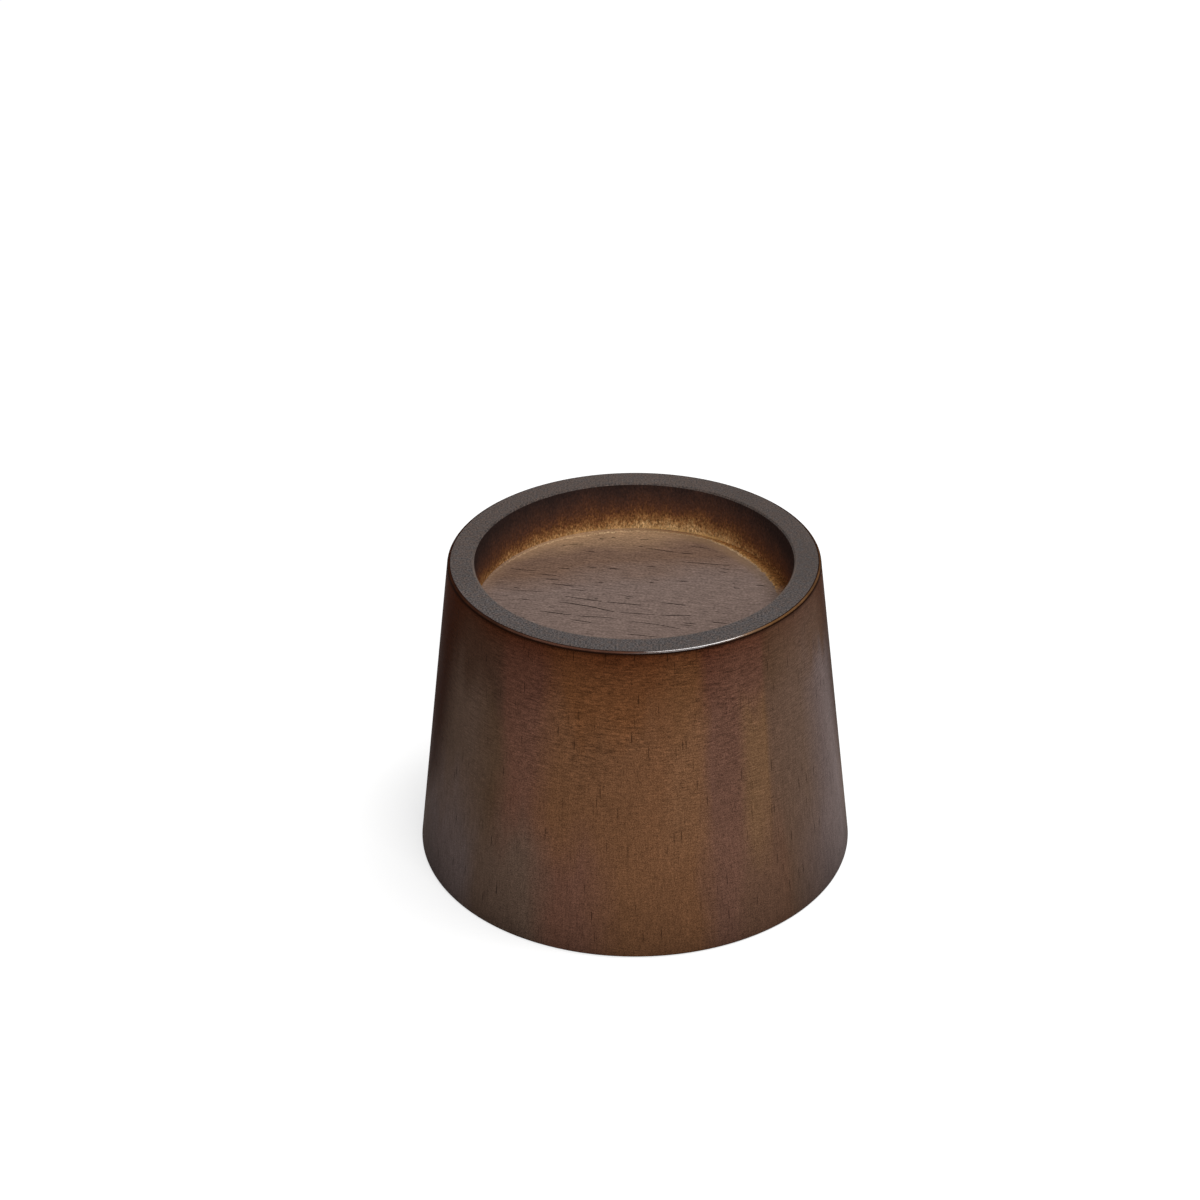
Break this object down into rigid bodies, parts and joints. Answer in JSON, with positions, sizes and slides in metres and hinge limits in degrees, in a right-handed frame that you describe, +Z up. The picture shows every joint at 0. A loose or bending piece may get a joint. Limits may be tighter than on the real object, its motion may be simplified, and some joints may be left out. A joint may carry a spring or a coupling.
{
  "type": "bed riser",
  "caption": "Round tapered wooden block with a flat rim and a shallow round recess on top, which stands under a bed leg and lifts it.",
  "frame": {"origin": "centre of the foot, where the turning axis meets the floor", "axes": "+Z up along the turning axis, out of the recess; +X to the right and -Y towards the camera in the picture"},
  "size_m": [0.1098, 0.1098, 0.08],
  "materials": {
    "stained_wood": "brown stain under a satin lacquer on the side, matt on the rim and in the recess"
  },
  "bodies": {
    "root": {"riser_body": "stained_wood"}
  },
  "joints": []
}
